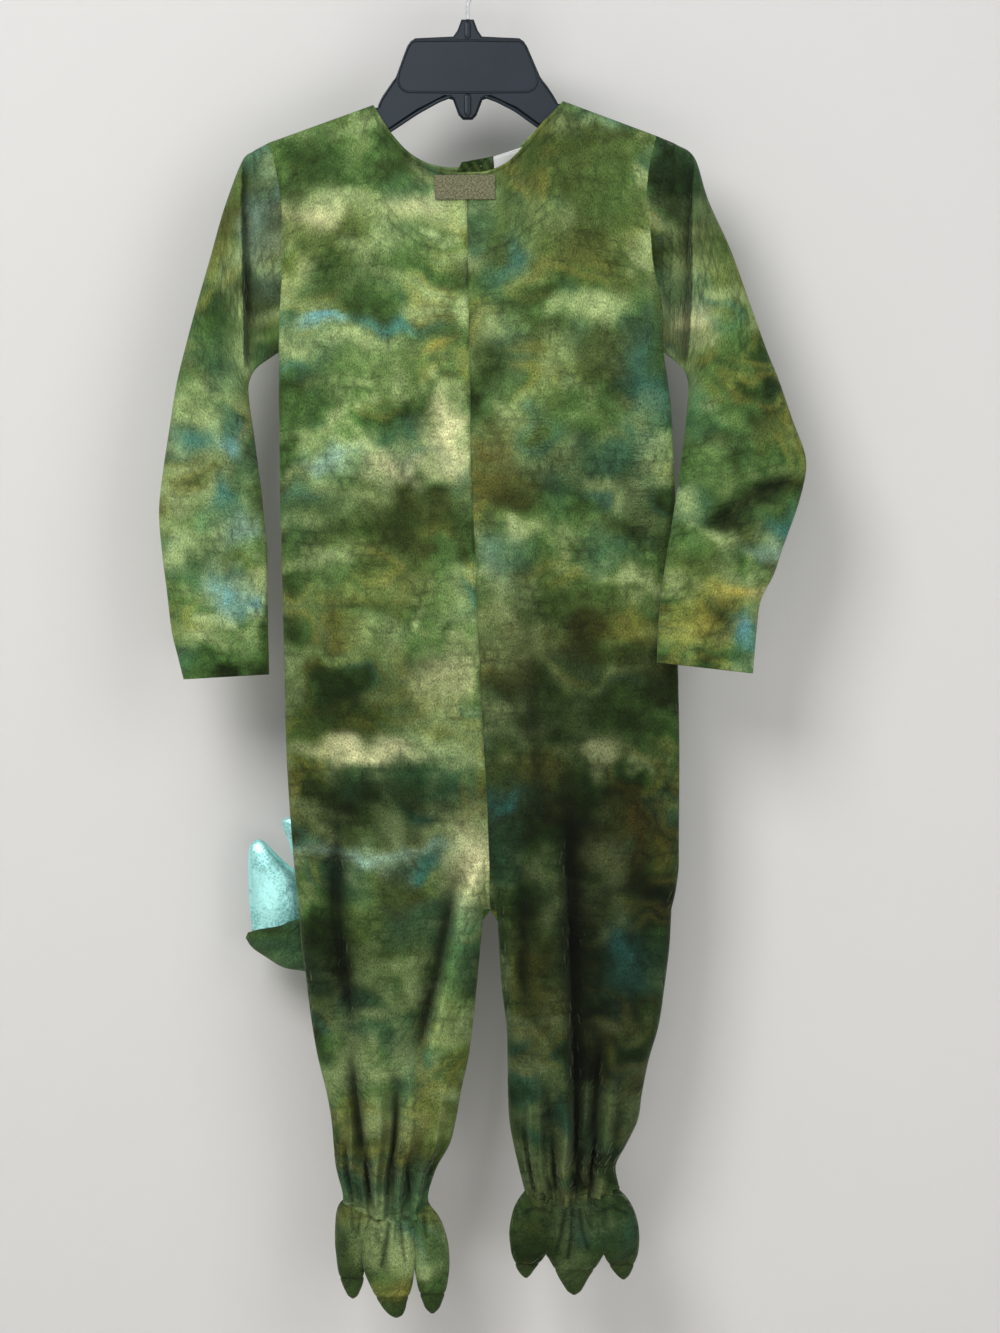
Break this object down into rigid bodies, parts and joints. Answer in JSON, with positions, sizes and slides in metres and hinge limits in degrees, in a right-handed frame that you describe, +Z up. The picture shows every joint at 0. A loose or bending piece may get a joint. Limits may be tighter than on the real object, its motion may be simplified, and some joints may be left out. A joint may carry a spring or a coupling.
{
  "type": "child's dinosaur costume on a hanger",
  "caption": "One-piece plush dinosaur suit with long sleeves, gathered ankles, padded three-toed foot covers and a stuffed tail with shiny spikes, hung flat on a plastic hanger.",
  "frame": {"origin": "under the top of the hanger's hook, where it rests on a rail", "axes": "+Z up, -Y out of the costume's front, +X to the viewer's right, which is the wearer's left"},
  "size_m": [0.5516, 0.1315, 1.171],
  "materials": {
    "plush_green": "short crushed pile in mixed greens with an embossed scale pattern",
    "claw_green": "dark green short pile",
    "foil_turquoise": "shiny metallic cloth",
    "hook_tape": "looped fastening tape",
    "label_white": "plain woven label",
    "plastic_black": "moulded, half matt",
    "wire_steel": "bright wire"
  },
  "bodies": {
    "root": {"front_left": "plush_green", "back_left": "plush_green", "sleeve_left": "plush_green", "ankle_casing_left": "plush_green", "toe_left_1": "plush_green", "claw_left_1": "claw_green", "toe_left_2": "plush_green", "claw_left_2": "claw_green", "toe_left_3": "plush_green", "claw_left_3": "claw_green", "front_right": "plush_green", "back_right": "plush_green", "sleeve_right": "plush_green", "ankle_casing_right": "plush_green", "toe_right_1": "plush_green", "claw_right_1": "claw_green", "toe_right_2": "plush_green", "claw_right_2": "claw_green", "toe_right_3": "plush_green", "claw_right_3": "claw_green", "neck_patch": "hook_tape", "back_tab": "plush_green", "neck_label": "label_white", "tail": "plush_green", "spike_1": "foil_turquoise", "spike_2": "foil_turquoise", "hanger_body": "plastic_black", "hanger_hook": "wire_steel"}
  },
  "joints": []
}
